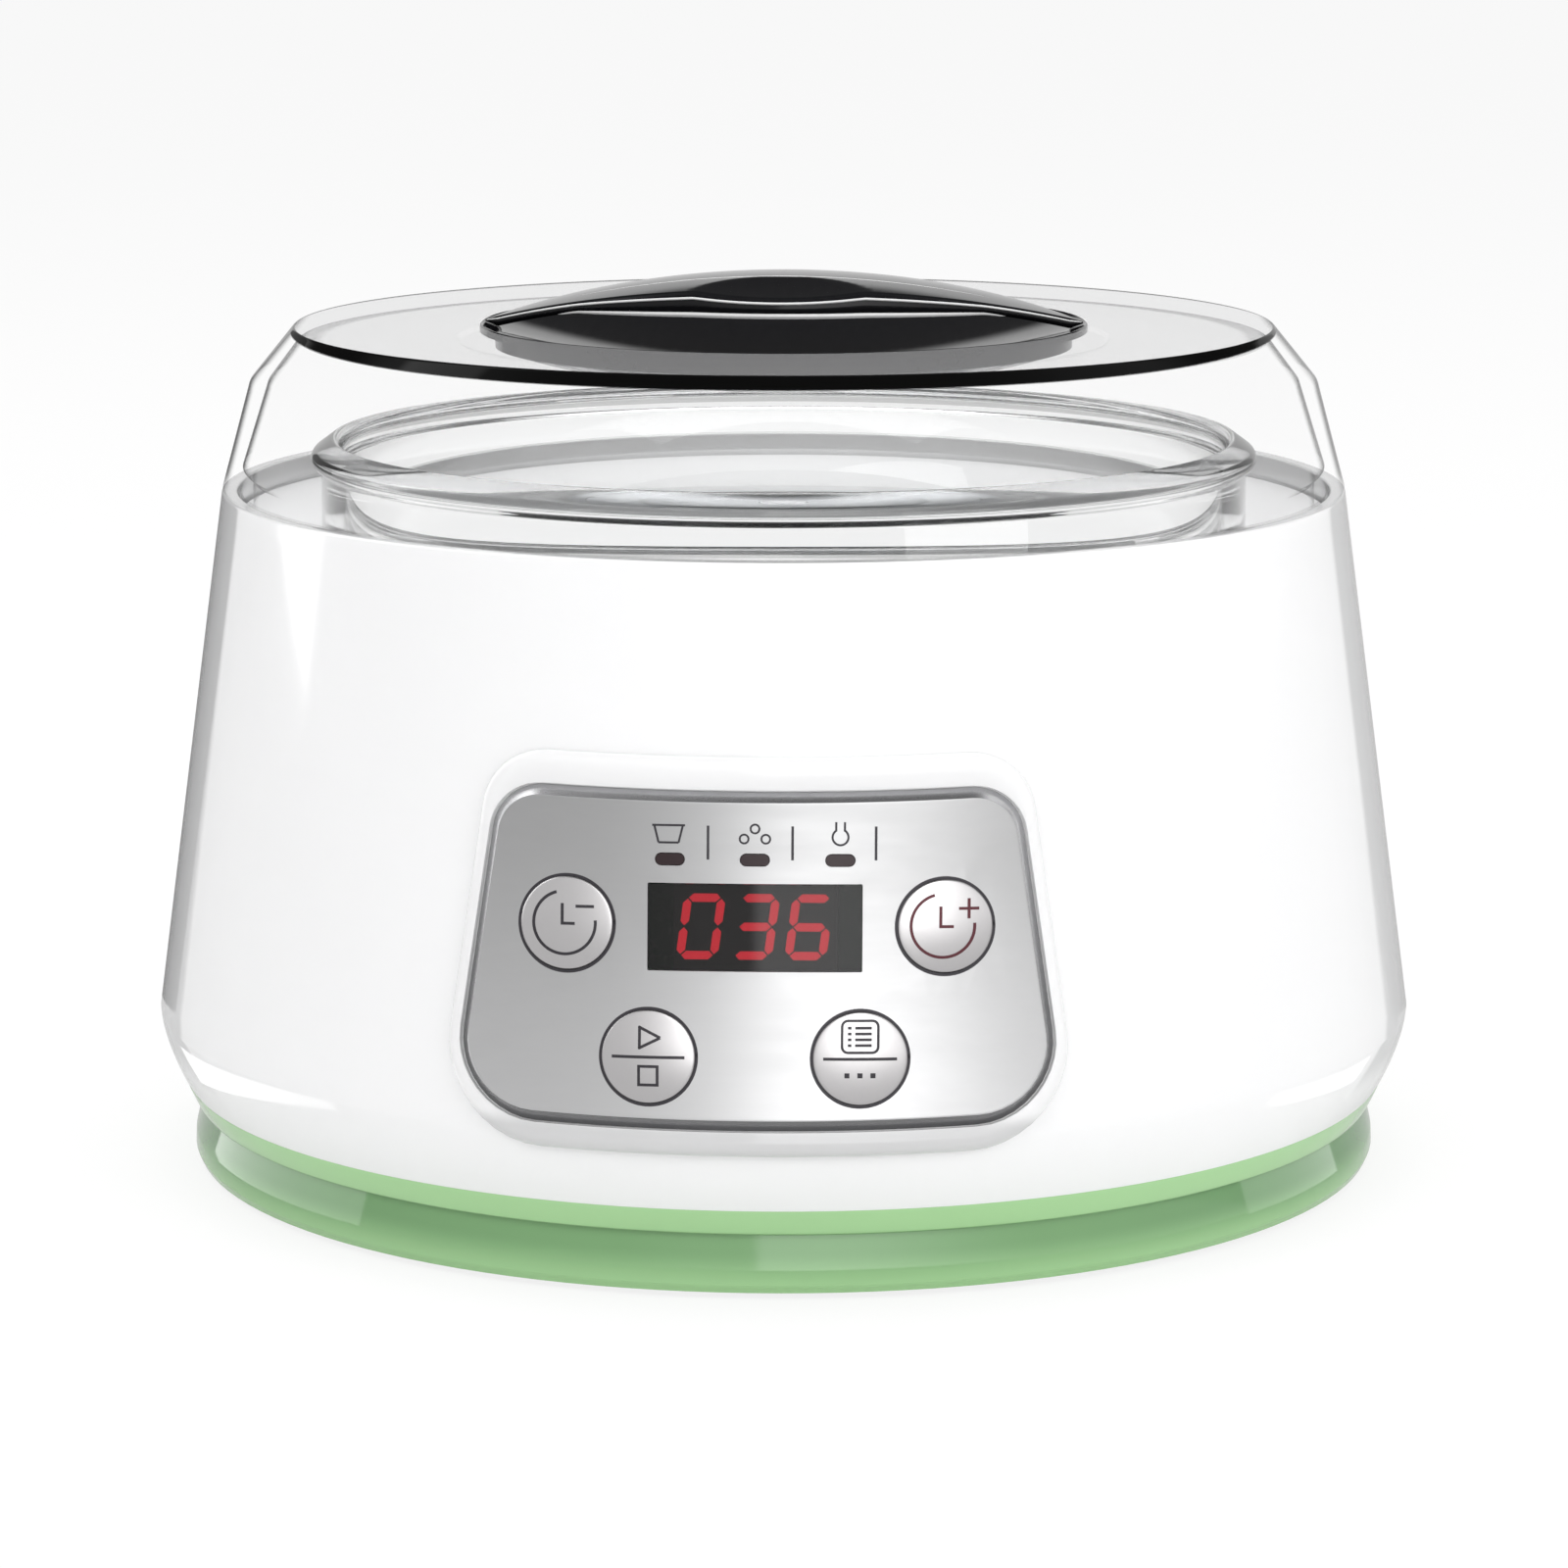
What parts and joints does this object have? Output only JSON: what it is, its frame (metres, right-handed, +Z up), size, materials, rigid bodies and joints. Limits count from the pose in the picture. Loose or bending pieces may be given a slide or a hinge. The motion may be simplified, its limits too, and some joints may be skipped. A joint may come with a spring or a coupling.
{
  "type": "yogurt maker",
  "caption": "Round countertop yogurt maker with a glass bowl in a heated well, a clear domed lid with a leaf-shaped grip and a curved control panel.",
  "frame": {"origin": "on the table, under the middle of the appliance's box", "axes": "+Z up, -Y towards the control panel, +X to the right of someone facing the panel"},
  "size_m": [0.1942, 0.1977, 0.1361],
  "materials": {
    "white_plastic": "high gloss",
    "green_plastic": "high gloss",
    "foot_rubber": "matt",
    "screw_steel": "zinc plated",
    "cast_aluminium": "satin",
    "mica": "matt",
    "zinc_steel": "zinc plated",
    "sensor_metal": "satin",
    "ceramic": "matt",
    "circuit_board": "solder mask",
    "winding_tape": "satin",
    "yellow_box": "satin",
    "sleeve_blue": "satin",
    "terminal_green": "satin",
    "wire_red": "satin",
    "wire_black": "satin",
    "ribbon_grey": "satin",
    "black_plastic": "matt",
    "display_body": "matt",
    "lit_red": "lit",
    "led_resin": "clear resin",
    "panel_metal": "satin",
    "button_metal": "satin",
    "smoked_window": "smoked",
    "lens_red": "dark red, unlit",
    "bowl_glass": "clear",
    "clear_plastic": "clear",
    "grip_black": "high gloss"
  },
  "bodies": {
    "root": {"base_tray": "green_plastic", "rubber_feet": "foot_rubber", "base_screws": "screw_steel", "outer_casing": "white_plastic", "inner_well": "white_plastic", "heater_plate": "cast_aluminium", "heater_element": "mica", "heater_bracket": "zinc_steel", "bracket_screws": "screw_steel", "temperature_sensor": "sensor_metal", "thermal_fuse": "ceramic", "power_board": "circuit_board", "power_transformer": "winding_tape", "filter_capacitor": "yellow_box", "smoothing_capacitor": "sleeve_blue", "power_relay": "sleeve_blue", "mains_terminal": "terminal_green", "power_board_screws": "screw_steel", "cord_gland": "white_plastic", "heater_leads": "wire_red", "sensor_lead": "wire_black", "ribbon_cable": "ribbon_grey", "control_board": "circuit_board", "control_board_screws": "screw_steel", "tact_switches": "black_plastic", "display_spacer": "black_plastic", "display_module": "display_body", "display_digits": "lit_red", "indicator_leds": "led_resin", "panel_bezel": "white_plastic", "front_panel": "panel_metal", "display_window": "smoked_window", "indicator_lenses": "lens_red"},
    "bowl": {"inner_bowl": "bowl_glass"},
    "lid": {"lid_shell": "clear_plastic", "grip_dish": "grip_black", "grip_bridge": "grip_black"},
    "time_minus": {"time_minus_button": "button_metal", "time_minus_actuator": "black_plastic"},
    "time_plus": {"time_plus_button": "button_metal", "time_plus_actuator": "black_plastic"},
    "start": {"start_button": "button_metal", "start_actuator": "black_plastic"},
    "function": {"function_button": "button_metal", "function_actuator": "black_plastic"}
  },
  "joints": [
    {"name": "bowl_lift", "type": "slide", "parent": "root", "child": "bowl", "axis": [0, 0, 1], "range_m": [0, 0.09]},
    {"name": "lid_lift", "type": "slide", "parent": "bowl", "child": "lid", "axis": [0, 0, 1], "range_m": [0, 0.06]},
    {"name": "time_minus_press", "type": "slide", "parent": "root", "child": "time_minus", "axis": [0, 0.9907, -0.1364], "range_m": [0, 0.0006], "stiffness_N_per_m": 800},
    {"name": "time_plus_press", "type": "slide", "parent": "root", "child": "time_plus", "axis": [0, 0.9907, -0.1364], "range_m": [0, 0.0006], "stiffness_N_per_m": 800},
    {"name": "start_press", "type": "slide", "parent": "root", "child": "start", "axis": [0, 0.9907, -0.1364], "range_m": [0, 0.0006], "stiffness_N_per_m": 800},
    {"name": "function_press", "type": "slide", "parent": "root", "child": "function", "axis": [0, 0.9907, -0.1364], "range_m": [0, 0.0006], "stiffness_N_per_m": 800}
  ]
}
